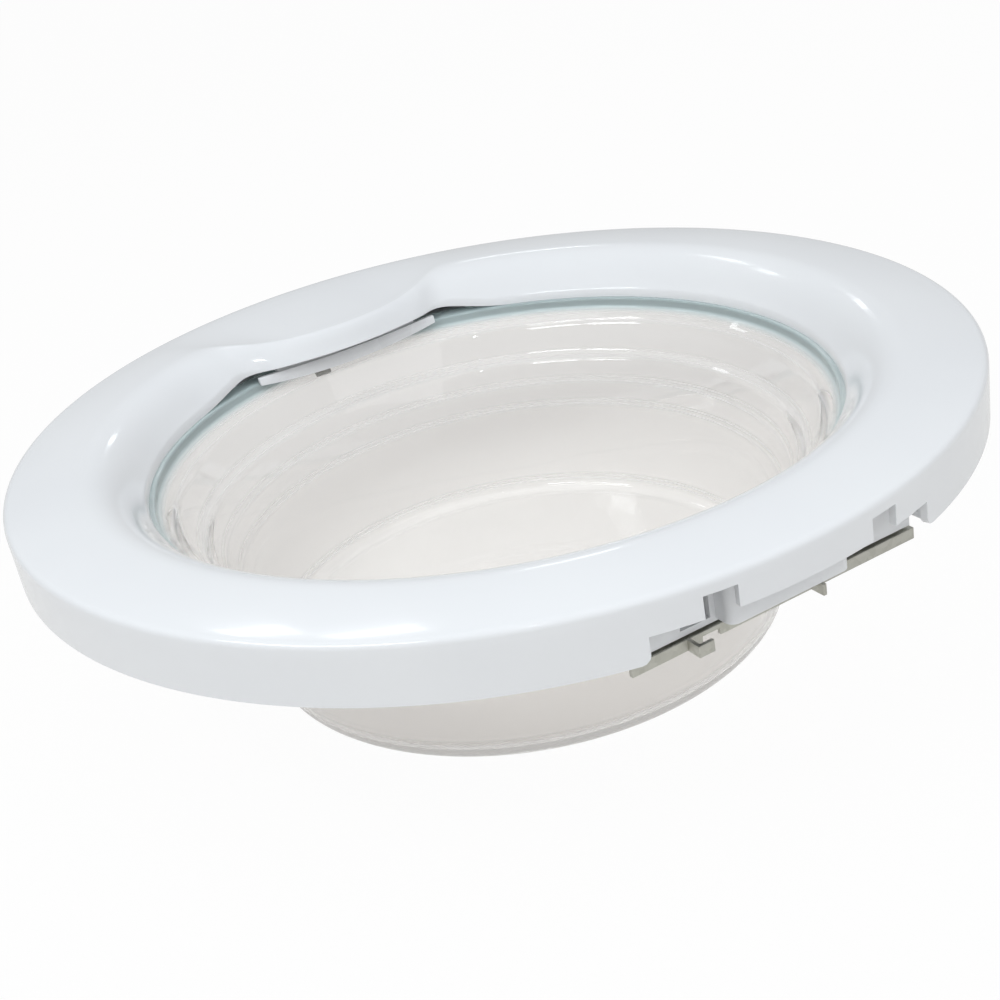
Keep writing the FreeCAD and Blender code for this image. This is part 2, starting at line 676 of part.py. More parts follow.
plate_half = ("-plate_length / 2", "plate_length / 2")
plate_sheet = box("plate_sheet", ("plate_inner", "plate_edge"), plate_half, ("plate_under", "plate_top"))
plate_flange = box(
    "plate_flange", ("plate_edge - plate_sheet", "plate_edge"), plate_half, ("flange_under", "plate_top"),
)
hook_base = box(
    "hook_base",
    ("plate_edge - plate_sheet", "plate_edge + hook_reach"),
    ("hook_start", "hook_start + hook_sheet"),
    ("flange_under", "plate_top"),
)
hook_return = box(
    "hook_return",
    ("plate_edge + hook_reach - hook_sheet", "plate_edge + hook_reach"),
    ("hook_start", "hook_start + hook_length"),
    ("flange_under", "plate_top"),
)
plate_ear = box(
    "plate_ear",
    ("plate_edge - plate_sheet", "plate_edge + hook_reach"),
    ("ear_place", "ear_place + hook_sheet"),
    ("flange_under", "plate_top"),
)
flange_notch = box(
    "flange_notch",
    ("plate_edge - 2 * plate_sheet", "plate_edge + hook_reach / 2"),
    ("hook_start + hook_length", "hook_start + hook_length + flange_notch_length"),
    ("flange_under - plate_sheet", "plate_under"),
)
below_plate = "plate_under - plate_sheet"
plate_holes = [
    rod("plate_bolt_hole_%d" % number, "hinge_bolt_radius", "3 * plate_sheet", x, y, below_plate)
    for number, (x, y) in enumerate(hinge_bolt_places())
]
plate_holes += [
    rod("plate_screw_hole_%d" % number, "through_radius", "3 * plate_sheet", x, y, below_plate)
    for number, (x, y) in enumerate(plate_screw_places())
]
folded_plate = fuse("folded_plate", [plate_sheet, plate_flange, hook_base, hook_return, plate_ear])
hinge_plate = cut("hinge_plate", folded_plate, [flange_notch] + plate_holes)
name_node(hinge_plate, "hinge_plate")


# Screws: identical pan heads, one node for each set.

def screw(name, x, y, seat):
    """A screw whose head sits on a face that looks down."""
    under = "%s - screw_head_height" % seat
    head = rod(name + "_head", "screw_head_radius", "screw_head_height", x, y, under)
    shank = rod(name + "_shank", "screw_radius", "screw_length", x, y, seat)
    return fuse(name, [head, shank])


def screw_set(node, places, seat):
    """A node of separate identical screws."""
    group = doc.addObject("Part::Compound", node)
    group.Links = [screw("%s_%d" % (node, number), x, y, seat) for number, (x, y) in enumerate(places)]
    return name_node(group, node)


frame_screws = screw_set("frame_screws", frame_screw_places(), "rear_face")
hinge_plate_screws = screw_set("hinge_plate_screws", plate_screw_places(), "plate_under")

# Handle: pull lever, latch hook, pin and return spring.

bar_top = "rear_plane + grip_top + grip_end_rise"
bar_lean = "grip_lean * (grip_top + grip_end_rise - grip_low) / (grip_top - grip_low)"
grip_blank = padded_body("grip_blank", [
    ("-grip_foot", "rear_plane + grip_low"),
    ("-grip_foot - grip_wall", "rear_plane + grip_low"),
    ("-grip_foot - %s - grip_wall" % bar_lean, bar_top),
    ("-grip_foot - %s" % bar_lean, bar_top),
], "grip_half")


def grip_corner(edge):
    """A test for the lower edges at the grip bar's two ends."""
    middle = edge.CenterOfMass
    near = 1e-3
    low = abs(middle.z - size("rear_plane + grip_low")) < near
    return low and abs(abs(middle.y) - size("grip_half")) < near


round_edges(grip_blank, "grip_rounding", "grip_round", grip_corner)
bow_start = "-arch_end - lever_wall"
bow_span = "arch_length + lever_wall + grip_wall"
low_bow = rod(
    "low_bow", "grip_low_bow", bow_span, bow_start, "0", "rear_plane + grip_low + grip_low_bow", "x",
)
top_bow = rod(
    "top_bow", "grip_top_bow", bow_span, bow_start, "0", "rear_plane + grip_top + grip_top_bow", "x",
)
grip_bar = cut("grip_bar", grip_blank, [top_bow])
lever_arch = padded_body("lever_arch", [
    ("-grip_foot", "rear_plane + grip_low"),
    ("-grip_foot - grip_wall", "rear_plane + grip_low"),
    ("-grip_foot - grip_lean - grip_wall", "rear_plane + grip_top - lever_wall / 2"),
    ("-grip_foot - grip_lean - grip_wall - lever_wall / 2", "rear_plane + arch_height - lever_wall"),
    ("-arch_end + 2 * lever_wall", "rear_plane + arch_height - lever_wall"),
    ("-arch_end", "lever_under"),
    ("-arch_end", "lever_top"),
    ("-arch_end + 2 * lever_wall", "rear_plane + arch_height"),
    ("-grip_foot - grip_lean - grip_wall / 2 - lever_wall", "rear_plane + arch_height"),
    ("-grip_foot - grip_lean - grip_wall / 2", "rear_plane + grip_top"),
    ("-grip_foot - grip_lean", "rear_plane + grip_top"),
], "arch_half")
bowed_front = doc.addObject("Part::Common", "bowed_front")
bowed_front.Base = fuse("lever_front", [grip_bar, lever_arch])
bowed_front.Tool = low_bow
lever_sheet = ("lever_under", "lever_top")
plate_span = ("-knuckle_outer", "knuckle_outer")
lever_plate = box("lever_plate", ("-lever_back", "-arch_end"), plate_span, lever_sheet)
knuckles = []
for number, start in enumerate(("-knuckle_outer", "knuckle_inner")):
    span = (start, start + " + knuckle_width")
    arm_run = ("-pivot_reach", "-lever_back")
    arm = box("knuckle_arm_%d" % number, arm_run, span, lever_sheet)
    hub = rod("knuckle_%d" % number, "hub_radius", "knuckle_width", "-pivot_reach", start, "pivot_z", "y")
    knuckles += [arm, hub]
run_radius = "pin_radius + run_clearance"
lever_bore = rod("lever_bore", run_radius, "2 * boss_outer", "-pivot_reach", "-boss_outer", "pivot_z", "y")
lever_blank = fuse("lever_blank", [bowed_front, lever_plate] + knuckles)
handle_lever = cut("handle_lever", lever_blank, [lever_bore])
name_node(turn_to_handle(handle_lever), "handle_lever")

hook_blade = padded_body("hook_blade", [
    ("-hook_front", "pivot_z"),
    ("-hook_front", "hook_tip + barb_height / 4"),
    ("-hook_front - hook_shank / 4", "hook_tip"),
    ("-hook_back - barb_reach", "hook_tip + 3 * barb_height / 4"),
    ("-hook_back - barb_reach", "hook_tip + barb_height"),
    ("-hook_back", "hook_tip + barb_height"),
    ("-hook_back", "pivot_z"),
], "hook_half")
place(hook_blade, "0", "hook_place", "0")
hook_near = "hook_place - hook_half"
hook_hub = rod("hook_hub", "hub_radius", "2 * hook_half", "-pivot_reach", hook_near, "pivot_z", "y")
hook_finger = box(
    "hook_finger",
    ("-pivot_reach", "-pivot_reach + finger_reach"),
    (hook_near, "hook_place + hook_half"),
    ("lever_top", "lever_top + lever_wall"),
)
hook_bore = rod("hook_bore", run_radius, "2 * boss_outer", "-pivot_reach", "-boss_outer", "pivot_z", "y")
latch_hook = cut("latch_hook", fuse("hook_blank", [hook_blade, hook_hub, hook_finger]), [hook_bore])
name_node(turn_to_handle(latch_hook), "latch_hook")

pin_blank = rod(
    "pin_blank", "pin_radius", "2 * boss_outer + 2 * pin_stick_out",
    "-pivot_reach", "-boss_outer - pin_stick_out", "pivot_z", "y",
)
handle_pin = doc.addObject("Part::Compound", "handle_pin")
handle_pin.Links = [pin_blank]
name_node(turn_to_handle(handle_pin), "handle_pin")


def spring_shape():
    """Coil round the pin, one leg on the lever and one on the inner frame's rear wall."""
    wire = size("spring_wire") / 2
    coil = size("spring_coil")
    start = size("hook_place + hook_half + spring_gap") + wire
    length = size("spring_pitch * spring_turn_count")
    centre = Vector(-size("pivot_reach"), start, size("pivot_z"))
    helix = Part.makeHelix(size("spring_pitch"), length, coil)
    flats = int(size("spring_flat_count"))
    rim = [
        Vector(coil + wire * math.cos(math.tau * flat / flats), 0, wire * math.sin(math.tau * flat / flats))
        for flat in range(flats + 1)
    ]
    profile = Part.makePolygon(rim)
    turns = Part.Wire(helix.Edges).makePipeShell([profile], True, True)
    turns.Placement = FreeCAD.Placement(centre, FreeCAD.Rotation(Vector(1, 0, 0), -90))
    first = centre + Vector(-coil, 0, 0)
    last = centre + Vector(0, length, coil)
    rest = Vector(centre.x + size("spring_leg"), last.y, size("lever_top") + wire)
    foot = Vector(first.x, first.y, size("rear_inside"))
    legs = []
    for begin, end in ((first, foot), (last, rest)):
        run = end - begin
        legs.append(Part.makeCylinder(wire, run.Length, begin, run))
    return turns.fuse(legs)


return_spring = doc.addObject("Part::Feature", "return_spring")
return_spring.Shape = spring_shape()
name_node(turn_to_handle(return_spring), "return_spring")

NODES = [
    outer_frame,
    inner_frame,
    glass_bowl,
    handle_lever,
    latch_hook,
    handle_pin,
    return_spring,
    hinge_plate,
    hinge_plate_screws,
    frame_screws,
]

doc.recompute()
for feature in doc.Objects:
    if "Invalid" in feature.State or "Error" in feature.State:
        raise RuntimeError("%s failed: %s" % (feature.Name, feature.State))
for node in NODES:
    if node.Shape.isNull() or not node.Shape.isValid() or not node.Shape.Solids:
        raise RuntimeError("%s has no valid solid" % node.Label)

os.makedirs("parts", exist_ok=True)
for node in NODES:
    node.Shape.exportStep("parts/%s.step" % node.Label)
    print("%-20s solids %2d volume %10.1f" % (node.Label, len(node.Shape.Solids), node.Shape.Volume))
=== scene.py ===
"""Looks of a front-loader washing machine door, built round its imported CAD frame."""

import logging
import math
from dataclasses import dataclass
from enum import Enum
from typing import Iterable, Sequence

import bmesh
import bpy
from mathutils import Euler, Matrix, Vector


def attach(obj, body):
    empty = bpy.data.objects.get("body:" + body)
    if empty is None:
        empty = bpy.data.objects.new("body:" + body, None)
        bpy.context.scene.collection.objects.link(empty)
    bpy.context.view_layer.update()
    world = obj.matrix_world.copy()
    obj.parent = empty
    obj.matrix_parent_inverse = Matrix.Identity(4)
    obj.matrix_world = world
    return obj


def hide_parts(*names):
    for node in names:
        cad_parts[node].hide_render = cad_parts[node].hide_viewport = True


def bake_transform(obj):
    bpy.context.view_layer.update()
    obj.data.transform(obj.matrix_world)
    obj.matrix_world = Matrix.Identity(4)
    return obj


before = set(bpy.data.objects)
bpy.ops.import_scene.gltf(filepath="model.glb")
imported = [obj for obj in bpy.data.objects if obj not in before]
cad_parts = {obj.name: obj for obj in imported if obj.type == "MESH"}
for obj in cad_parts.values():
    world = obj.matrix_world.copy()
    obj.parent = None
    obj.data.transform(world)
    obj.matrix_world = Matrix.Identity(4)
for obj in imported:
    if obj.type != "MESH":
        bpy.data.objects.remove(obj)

LOG = logging.getLogger("washing_machine_door")
# Metres in a millimetre
MM = 0.001
# Height of the ring's foot above the bowl's foot, in millimetres
REAR_PLANE = 98.0
# Distance in metres under which points are one: on a new seam and on a copy of a CAD mesh
SEAM_WELD = 1e-6
CAD_WELD = 2e-6
# Pattern values between which a finish changes
PATTERN_LOW = 0.3
PATTERN_HIGH = 0.7
Point = tuple[float, float]
Place = tuple[float, float, float]
Colour = tuple[float, float, float]


class Body(Enum):
    """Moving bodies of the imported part."""

    DOOR = "door"
    HANDLE = "handle"


class Slot(Enum):
    """Material slots of the record."""

    WHITE_GLOSS = "white_gloss"
    WHITE_SATIN = "white_satin"
    CLEAR_GLASS = "clear_glass"
    ZINC_CASTING = "zinc_casting"
    BRIGHT_STEEL = "bright_steel"
    GALVANISED_SHEET = "galvanised_sheet"


# Node helpers


class Shader:
    """A new material with a Principled shader and Object coordinates."""

    def __init__(self, name: str) -> None:
        """Make the material.

        Args:
            name: name of the material.
        """
        self.material = bpy.data.materials.new(name)
        self.material.use_nodes = True
        self.nodes = self.material.node_tree.nodes
        self.links = self.material.node_tree.links
        self.principled = self.nodes["Principled BSDF"]
        self.output = self.nodes["Material Output"]
        self.coordinates = self.nodes.new("ShaderNodeTexCoord")

    def noise(self, scale: float, detail: float = 3.0) -> bpy.types.Node:
        """Noise on Object coordinates.

        Args:
            scale: cells per metre.
            detail: octaves of the noise.

        Returns:
            The noise node.
        """
        node = self.nodes.new("ShaderNodeTexNoise")
        node.inputs["Scale"].default_value = scale
        node.inputs["Detail"].default_value = detail
        self.links.new(self.coordinates.outputs["Object"], node.inputs["Vector"])
        return node

    def vary_colour(self, source: bpy.types.NodeSocket, low: Colour, high: Colour) -> None:
        """Run the base colour between two tones.

        Args:
            source: value that steers the tone.
            low: tone at PATTERN_LOW and under.
            high: tone at PATTERN_HIGH and over.
        """
        ramp = self.nodes.new("ShaderNodeValToRGB")
        ramp.color_ramp.elements[0].position = PATTERN_LOW
        ramp.color_ramp.elements[0].color = (*low, 1.0)
        ramp.color_ramp.elements[1].position = PATTERN_HIGH
        ramp.color_ramp.elements[1].color = (*high, 1.0)
        self.links.new(source, ramp.inputs["Fac"])
        self.links.new(ramp.outputs["Color"], self.principled.inputs["Base Color"])

    def vary_roughness(self, source: bpy.types.NodeSocket, low: float, high: float) -> None:
        """Run the roughness between two values.

        Args:
            source: value that steers the roughness.
            low: roughness at PATTERN_LOW and under.
            high: roughness at PATTERN_HIGH and over.
        """
        spread = self.nodes.new("ShaderNodeMapRange")
        spread.inputs["From Min"].default_value = PATTERN_LOW
        spread.inputs["From Max"].default_value = PATTERN_HIGH
        spread.inputs["To Min"].default_value = low
        spread.inputs["To Max"].default_value = high
        self.links.new(source, spread.inputs["Value"])
        self.links.new(spread.outputs["Result"], self.principled.inputs["Roughness"])

    def bump(self, source: bpy.types.NodeSocket, strength: float, depth: float) -> None:
        """Give the surface a fine relief.

        Args:
            source: height value.
            strength: share of the relief that shows.
            depth: height of the relief in metres.
        """
        node = self.nodes.new("ShaderNodeBump")
        node.inputs["Strength"].default_value = strength
        node.inputs["Distance"].default_value = depth
        self.links.new(source, node.inputs["Height"])
        self.links.new(node.outputs["Normal"], self.principled.inputs["Normal"])

    def put(self, **values: object) -> None:
        """Set constant inputs of the Principled shader, with underscores for spaces."""
        for name, value in values.items():
            self.principled.inputs[name.replace("_", " ")].default_value = value


# Finishes


@dataclass(frozen=True)
class MouldedPlastic:
    """Injection moulded plastic with a faint skin texture."""

    name: str
    shade: Colour
    light: Colour
    roughness: tuple[float, float]
    coat: float
    skin_depth: float
    skin_scale: float = 520.0
    skin_strength: float = 0.2
    cloud_scale: float = 9.0
    detail: float = 2.0
    index: float = 1.5
    coat_roughness: float = 0.04

    def material(self) -> bpy.types.Material:
        """Mix the finish.

        Returns:
            The finish as a material.
        """
        shader = Shader(self.name)
        cloud = shader.noise(self.cloud_scale, self.detail)
        skin = shader.noise(self.skin_scale, self.detail)
        shader.vary_colour(cloud.outputs["Fac"], self.shade, self.light)
        shader.vary_roughness(cloud.outputs["Fac"], *self.roughness)
        shader.bump(skin.outputs["Fac"], self.skin_strength, self.skin_depth)
        shader.put(IOR=self.index, Coat_Weight=self.coat, Coat_Roughness=self.coat_roughness)
        return shader.material


@dataclass(frozen=True)
class PressedGlass:
    """Pressed glass with a faint haze, painted highlights along the mould's bends (whiter, less clear bands
    that stand in for the light the bends reflect), a milky rim and soft waves.

    Heights and widths are in millimetres. A ray that has bounced too often inside the wall goes straight on.
    """

    name: str
    tint: Colour
    rim_tint: Colour
    shadow: Colour
    wave_depth: float
    rim_under: float
    rim_top: float
    highlight_line_heights: tuple[float, ...]
    line_width: float
    clear: float
    highlight_line_clear: float
    rim_clear: float
    most_bounces: int
    wave_scale: float = 26.0
    wave_detail: float = 1.0
    wave_strength: float = 0.35
    index: float = 1.5

    def height_ramp(self, shader: Shader, stops: Sequence[tuple[float, Colour]]) -> bpy.types.NodeSocket:
        """A colour that changes with the height above the foot.

        Args:
            shader: the material's shader.
            stops: height in millimetres and colour of each stop, from low to high.

        Returns:
            The colour's socket.
        """
        parts = shader.nodes.new("ShaderNodeSeparateXYZ")
        shader.links.new(shader.coordinates.outputs["Object"], parts.inputs["Vector"])
        share = shader.nodes.new("ShaderNodeMapRange")
        share.inputs["From Max"].default_value = self.rim_top * MM
        shader.links.new(parts.outputs["Z"], share.inputs["Value"])
        ramp = shader.nodes.new("ShaderNodeValToRGB")
        elements = ramp.color_ramp.elements
        elements[0].color = (*stops[0][1], 1.0)
        elements[1].color = (*stops[-1][1], 1.0)
        for height, colour in stops:
            elements.new(height / self.rim_top).color = (*colour, 1.0)
        shader.links.new(share.outputs["Result"], ramp.inputs["Fac"])
        return ramp.outputs["Color"]

    def clearness(self) -> list[tuple[float, Colour]]:
        """Share of the light that goes through at each height: less in the painted highlight bands at the
        bends and at the rim.

        Returns:
            Height in millimetres and grey value of each stop, from low to high.
        """
        stops = []
        # Painted highlights: at each bend height a band lets less light through, so the lit glass turns
        # whitish where the bend would reflect light.
        for height in sorted(self.highlight_line_heights):
            stops.append((height - self.line_width, self.clear))
            stops.append((height, self.highlight_line_clear))
            stops.append((height + self.line_width, self.clear))
        stops.append((self.rim_under - self.line_width, self.clear))
        stops.append((self.rim_under, self.rim_clear))
        return [(height, (clear, clear, clear)) for height, clear in stops]

    def material(self) -> bpy.types.Material:
        """Mix the finish.

        Returns:
            The finish as a material.
        """
        shader = Shader(self.name)
        waves = shader.noise(self.wave_scale, self.wave_detail)
        shader.bump(waves.outputs["Fac"], self.wave_strength, self.wave_depth)
        shader.put(Roughness=0.0, IOR=self.index)
        tints = [
            (0.0, self.tint),
            (self.rim_under - self.line_width, self.tint),
            (self.rim_under, self.rim_tint),
        ]
        inputs = shader.principled.inputs
        shader.links.new(self.height_ramp(shader, tints), inputs["Base Color"])
        shader.links.new(self.height_ramp(shader, self.clearness()), inputs["Transmission Weight"])
        clear = shader.nodes.new("ShaderNodeBsdfTransparent")
        clear.inputs["Color"].default_value = (*self.shadow, 1.0)
        path = shader.nodes.new("ShaderNodeLightPath")
        trapped = shader.nodes.new("ShaderNodeMath")
        trapped.operation = "GREATER_THAN"
        trapped.inputs[1].default_value = self.most_bounces
        shader.links.new(path.outputs["Ray Depth"], trapped.inputs[0])
        passes = shader.nodes.new("ShaderNodeMath")
        passes.operation = "MAXIMUM"
        shader.links.new(path.outputs["Is Shadow Ray"], passes.inputs[0])
        shader.links.new(trapped.outputs["Value"], passes.inputs[1])
        blend = shader.nodes.new("ShaderNodeMixShader")
        shader.links.new(passes.outputs["Value"], blend.inputs["Fac"])
        shader.links.new(shader.principled.outputs["BSDF"], blend.inputs[1])
        shader.links.new(clear.outputs["BSDF"], blend.inputs[2])
        shader.links.new(blend.outputs["Shader"], shader.output.inputs["Surface"])
        return shader.material


@dataclass(frozen=True)
class BareMetal:
    """Metal with a clouded surface: spangled sheet, plated steel or a plain casting."""

    name: str
    shade: Colour
    light: Colour
    roughness: tuple[float, float]
    grain: float
    grain_depth: float
    spangle: bool = False
    relief_ratio: float = 6.0
    relief_strength: float = 0.25

    def material(self) -> bpy.types.Material:
        """Mix the finish.

        Returns:
            The finish as a material.
        """
        shader = Shader(self.name)
        if self.spangle:
            cells = shader.nodes.new("ShaderNodeTexVoronoi")
            cells.inputs["Scale"].default_value = self.grain
            shader.links.new(shader.coordinates.outputs["Object"], cells.inputs["Vector"])
            steer = cells.outputs["Color"]
        else:
            steer = shader.noise(self.grain).outputs["Fac"]
        shader.vary_colour(steer, self.shade, self.light)
        shader.vary_roughness(steer, *self.roughness)
        relief = shader.noise(self.grain * self.relief_ratio)
        shader.bump(relief.outputs["Fac"], self.relief_strength, self.grain_depth)
        shader.put(Metallic=1.0)
        return shader.material


FINISHES: dict[Slot, MouldedPlastic | PressedGlass | BareMetal] = {
    Slot.WHITE_GLOSS: MouldedPlastic(
        "white_gloss", (0.83, 0.84, 0.86), (0.86, 0.87, 0.885), (0.10, 0.15), 0.35, 0.00002
    ),
    Slot.WHITE_SATIN: MouldedPlastic(
        "white_satin", (0.85, 0.865, 0.885), (0.88, 0.89, 0.905), (0.26, 0.34), 0.0, 0.00004
    ),
    Slot.CLEAR_GLASS: PressedGlass(
        "clear_glass",
        tint=(0.955, 0.936, 0.920),
        rim_tint=(0.62, 0.72, 0.73),
        shadow=(0.985, 0.98, 0.97),
        wave_depth=0.0003,
        rim_under=98.8,
        rim_top=103.8,
        # Painted highlights: bend heights where the glass is whiter and less clear, standing in for the
        # bends' reflections.
        highlight_line_heights=(10.0, 53.0, 65.0, 77.3, 94.5),
        line_width=1.9,
        clear=0.93,
        highlight_line_clear=0.70,
        rim_clear=0.45,
        most_bounces=3,
    ),
    Slot.ZINC_CASTING: BareMetal(
        "zinc_casting", (0.20, 0.20, 0.19), (0.27, 0.27, 0.26), (0.48, 0.60), 160.0, 0.00006
    ),
    Slot.BRIGHT_STEEL: BareMetal(
        "bright_steel", (0.52, 0.53, 0.54), (0.64, 0.65, 0.66), (0.22, 0.34), 240.0, 0.00002
    ),
    Slot.GALVANISED_SHEET: BareMetal(
        "galvanised_sheet", (0.46, 0.455, 0.405), (0.54, 0.535, 0.485), (0.30, 0.42), 420.0, 0.00002, True
    ),
}


# Mesh helpers


def ease(start: float, end: float, angle: float) -> float:
    """1 up to the start angle, 0 from the end angle, smooth between."""
    share = min(max((abs(angle) - start) / (end - start), 0.0), 1.0)
    return 1.0 - share**3 * (10.0 - 15.0 * share + 6.0 * share**2)


def mix(plain: float, other: float, share: float) -> float:
    """Value between two others."""
    return plain + (other - plain) * share


def curve(poles: Sequence[Point], count: int) -> list[Point]:
    """Points along a cubic curve, without its first pole.

    Args:
        poles: the curve's four poles.
        count: number of points.

    Returns:
        The points, the last pole included.
    """
    points = []
    for step in range(1, count + 1):
        t = step / count
        weights = ((1 - t) ** 3, 3 * t * (1 - t) ** 2, 3 * t * t * (1 - t), t**3)
        points.append(tuple(sum(w * pole[axis] for w, pole in zip(weights, poles)) for axis in (0, 1)))
    return points


def straight(start: Point, end: Point, count: int) -> list[Point]:
    """Evenly spaced points from start to end, without the start."""
    return [(mix(start[0], end[0], n / count), mix(start[1], end[1], n / count)) for n in range(1, count + 1)]


def rounded(corners: Sequence[tuple[float, float, float]], degrees_per_step: float = 6.0) -> list[Point]:
    """An open outline with rounded corners.

    Args:
        corners: radius, height and rounding of each corner.
        degrees_per_step: turn between two points of a rounding.

    Returns:
        The outline's points.
    """
    points: list[Point] = []
    for index, (radius, height, rounding) in enumerate(corners):
        here = Vector((radius, height))
        if rounding == 0.0 or index in (0, len(corners) - 1):
            points.append((radius, height))
            continue
        back = (Vector(corners[index - 1][:2]) - here).normalized()
        ahead = (Vector(corners[index + 1][:2]) - here).normalized()
        opening = back.angle(ahead)
        reach = rounding / math.tan(opening / 2)
        middle = here + (back + ahead).normalized() * (rounding / math.sin(opening / 2))
        start = here + back * reach - middle
        turn = math.pi - opening
        if start.x * ahead.y - start.y * ahead.x < 0.0:
            turn = -turn
        steps = max(2, round(abs(math.degrees(turn)) / degrees_per_step))
        for step in range(steps + 1):
            angle = turn * step / steps
            points.append((
                middle.x + start.x * math.cos(angle) - start.y * math.sin(angle),
                middle.y + start.x * math.sin(angle) + start.y * math.cos(angle),
            ))
    return points


def spin_outline(
    mesh: bmesh.types.BMesh, outline: Iterable[Point], steps: int, centre: Point = (0.0, 0.0)
) -> None:
    """Turn an outline about an upright axis.

    Args:
        mesh: mesh that takes the surface of revolution.
        outline: radius and height of each point, in millimetres.
        steps: number of segments round the axis.
        centre: place of the axis, in millimetres.
    """
    foot = Vector((*centre, 0.0)) * MM
    verts = [mesh.verts.new(foot + Vector((radius, 0.0, height)) * MM) for radius, height in outline]
    edges = [mesh.edges.new(pair) for pair in zip(verts, verts[1:])]
    bmesh.ops.spin(
        mesh, geom=verts + edges, cent=foot, axis=(0, 0, 1), dvec=(0, 0, 0),
        angle=math.tau, steps=steps, use_merge=True, use_duplicate=False,
    )
    bmesh.ops.remove_doubles(mesh, verts=mesh.verts, dist=SEAM_WELD)
    bmesh.ops.recalc_face_normals(mesh, faces=mesh.faces)


def bevel_sharp(mesh: bmesh.types.BMesh, width: float, sharper_than: float, segments: int = 2) -> None:
    """Round every edge that is sharper than an angle.

    Args:
        mesh: the mesh to change.
        width: width of the bevel in millimetres.
        sharper_than: smallest angle between the faces, in degrees.
        segments: faces across the bevel.
    """
    limit = math.radians(sharper_than)
    edges = [edge for edge in mesh.edges if edge.is_manifold and edge.calc_face_angle() > limit]
    bmesh.ops.bevel(
        mesh, geom=edges, offset=width * MM, offset_type="OFFSET", affect="EDGES",
        segments=segments, profile=0.5, material=-1, clamp_overlap=True,
    )


def finish_piece(
    mesh: bmesh.types.BMesh, name: str, node: str, body: Body | None, slot: Slot, smooth_below: float = 32.0
) -> bpy.types.Object:
    """Turn a bmesh into a dressed piece that stands for a CAD node.

    Args:
        mesh: the piece's mesh, which is freed.
        name: name of the piece.
        node: CAD node it stands for.
        body: body it moves with, or None for none.
        slot: material slot of the record.
        smooth_below: largest angle that is shaded smooth, in degrees.

    Returns:
        The new object.
    """
    data = bpy.data.meshes.new(name)
    mesh.to_mesh(data)
    mesh.free()
    data.shade_smooth()
    data.set_sharp_from_angle(angle=math.radians(smooth_below))
    piece = bpy.data.objects.new(name, data)
    bpy.context.scene.collection.objects.link(piece)
    data.materials.append(MATERIALS[slot])
    if body:
        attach(piece, body.value)
    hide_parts(node)
    LOG.info("%s: %d faces", name, len(data.polygons))
    return piece


# Sub-assemblies


